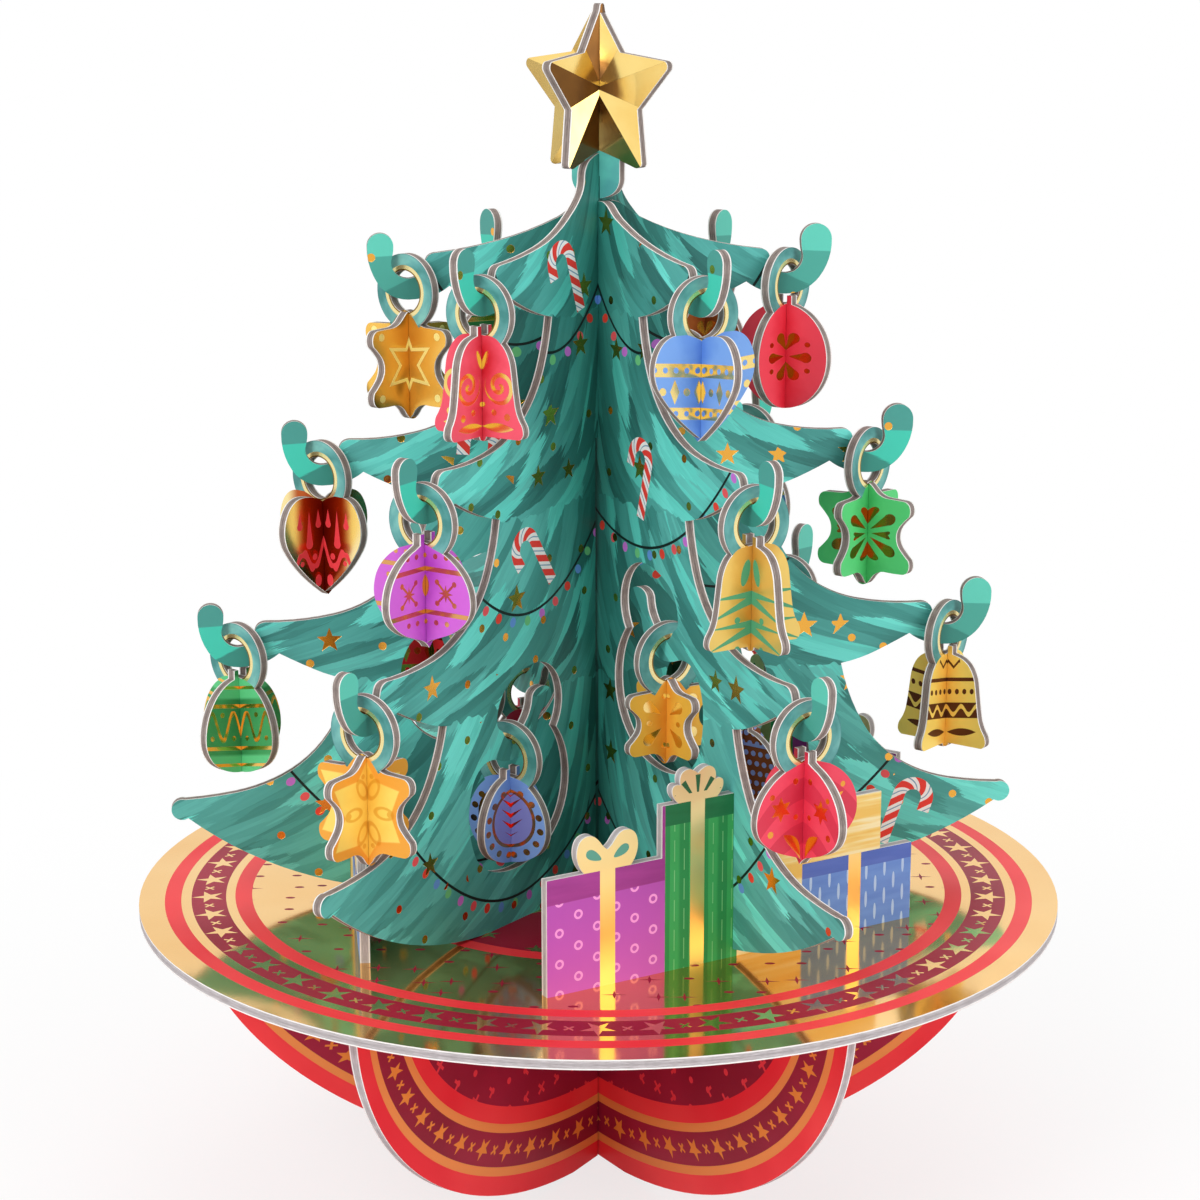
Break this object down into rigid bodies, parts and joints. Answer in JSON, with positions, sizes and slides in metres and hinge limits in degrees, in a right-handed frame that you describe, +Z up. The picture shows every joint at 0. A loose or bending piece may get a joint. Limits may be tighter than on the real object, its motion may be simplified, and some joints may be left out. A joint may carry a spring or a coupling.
{
  "type": "pop-up advent calendar",
  "caption": "Slot-together card Christmas tree on a round plate, with hooks and windows that carry crossing-card ornaments, presents round the skirt and a star on top.",
  "frame": {"origin": "on the tree's axis at the foot of the base boards, which rest on the table", "axes": "+Z up along the tree's axis, -Y towards the viewer and +X to the viewer's right"},
  "size_m": [0.287, 0.287, 0.3638],
  "materials": {
    "tree_print": "satin",
    "base_print": "satin",
    "plate_print": "satin",
    "presents_print": "satin",
    "star_foil": "gloss",
    "left_low_egg": "satin",
    "left_middle_heart": "satin",
    "left_top_star": "satin",
    "left_window_ball": "satin",
    "front_left_low_star": "satin",
    "front_left_middle_bauble": "satin",
    "front_left_top_bell": "satin",
    "front_left_window_egg": "satin",
    "front_right_low_bauble": "satin",
    "front_right_middle_bell": "satin",
    "front_right_top_heart": "satin",
    "front_right_window_star": "satin",
    "right_low_bell": "satin",
    "right_middle_star": "satin",
    "right_top_ball": "satin",
    "right_window_egg": "satin",
    "back_right_low_heart": "satin",
    "back_right_middle_ball": "satin",
    "back_right_top_egg": "satin",
    "back_right_window_bauble": "satin",
    "back_left_low_ball": "satin",
    "back_left_middle_heart": "satin",
    "back_left_top_bauble": "satin",
    "back_left_window_bell": "satin"
  },
  "bodies": {
    "root": {"tree_spire": "tree_print", "tree_middle": "tree_print", "tree_cross": "tree_print", "base_board_1": "base_print", "base_board_2": "base_print", "base_board_3": "base_print", "plate": "plate_print", "presents_front_right": "presents_print", "presents_left": "presents_print", "presents_back_right": "presents_print", "star_plain": "star_foil", "star_stemmed": "star_foil", "left_low_egg_ring": "left_low_egg", "left_low_egg_cross": "left_low_egg", "left_middle_heart_ring": "left_middle_heart", "left_middle_heart_cross": "left_middle_heart", "left_top_star_ring": "left_top_star", "left_top_star_cross": "left_top_star", "left_window_ball_ring": "left_window_ball", "left_window_ball_cross": "left_window_ball", "front_left_low_star_ring": "front_left_low_star", "front_left_low_star_cross": "front_left_low_star", "front_left_middle_bauble_ring": "front_left_middle_bauble", "front_left_middle_bauble_cross": "front_left_middle_bauble", "front_left_top_bell_ring": "front_left_top_bell", "front_left_top_bell_cross": "front_left_top_bell", "front_left_window_egg_ring": "front_left_window_egg", "front_left_window_egg_cross": "front_left_window_egg", "front_right_low_bauble_ring": "front_right_low_bauble", "front_right_low_bauble_cross": "front_right_low_bauble", "front_right_middle_bell_ring": "front_right_middle_bell", "front_right_middle_bell_cross": "front_right_middle_bell", "front_right_top_heart_ring": "front_right_top_heart", "front_right_top_heart_cross": "front_right_top_heart", "front_right_window_star_ring": "front_right_window_star", "front_right_window_star_cross": "front_right_window_star", "right_low_bell_ring": "right_low_bell", "right_low_bell_cross": "right_low_bell", "right_middle_star_ring": "right_middle_star", "right_middle_star_cross": "right_middle_star", "right_top_ball_ring": "right_top_ball", "right_top_ball_cross": "right_top_ball", "right_window_egg_ring": "right_window_egg", "right_window_egg_cross": "right_window_egg", "back_right_low_heart_ring": "back_right_low_heart", "back_right_low_heart_cross": "back_right_low_heart", "back_right_middle_ball_ring": "back_right_middle_ball", "back_right_middle_ball_cross": "back_right_middle_ball", "back_right_top_egg_ring": "back_right_top_egg", "back_right_top_egg_cross": "back_right_top_egg", "back_right_window_bauble_ring": "back_right_window_bauble", "back_right_window_bauble_cross": "back_right_window_bauble", "back_left_low_ball_ring": "back_left_low_ball", "back_left_low_ball_cross": "back_left_low_ball", "back_left_middle_heart_ring": "back_left_middle_heart", "back_left_middle_heart_cross": "back_left_middle_heart", "back_left_top_bauble_ring": "back_left_top_bauble", "back_left_top_bauble_cross": "back_left_top_bauble", "back_left_window_bell_ring": "back_left_window_bell", "back_left_window_bell_cross": "back_left_window_bell"}
  },
  "joints": []
}
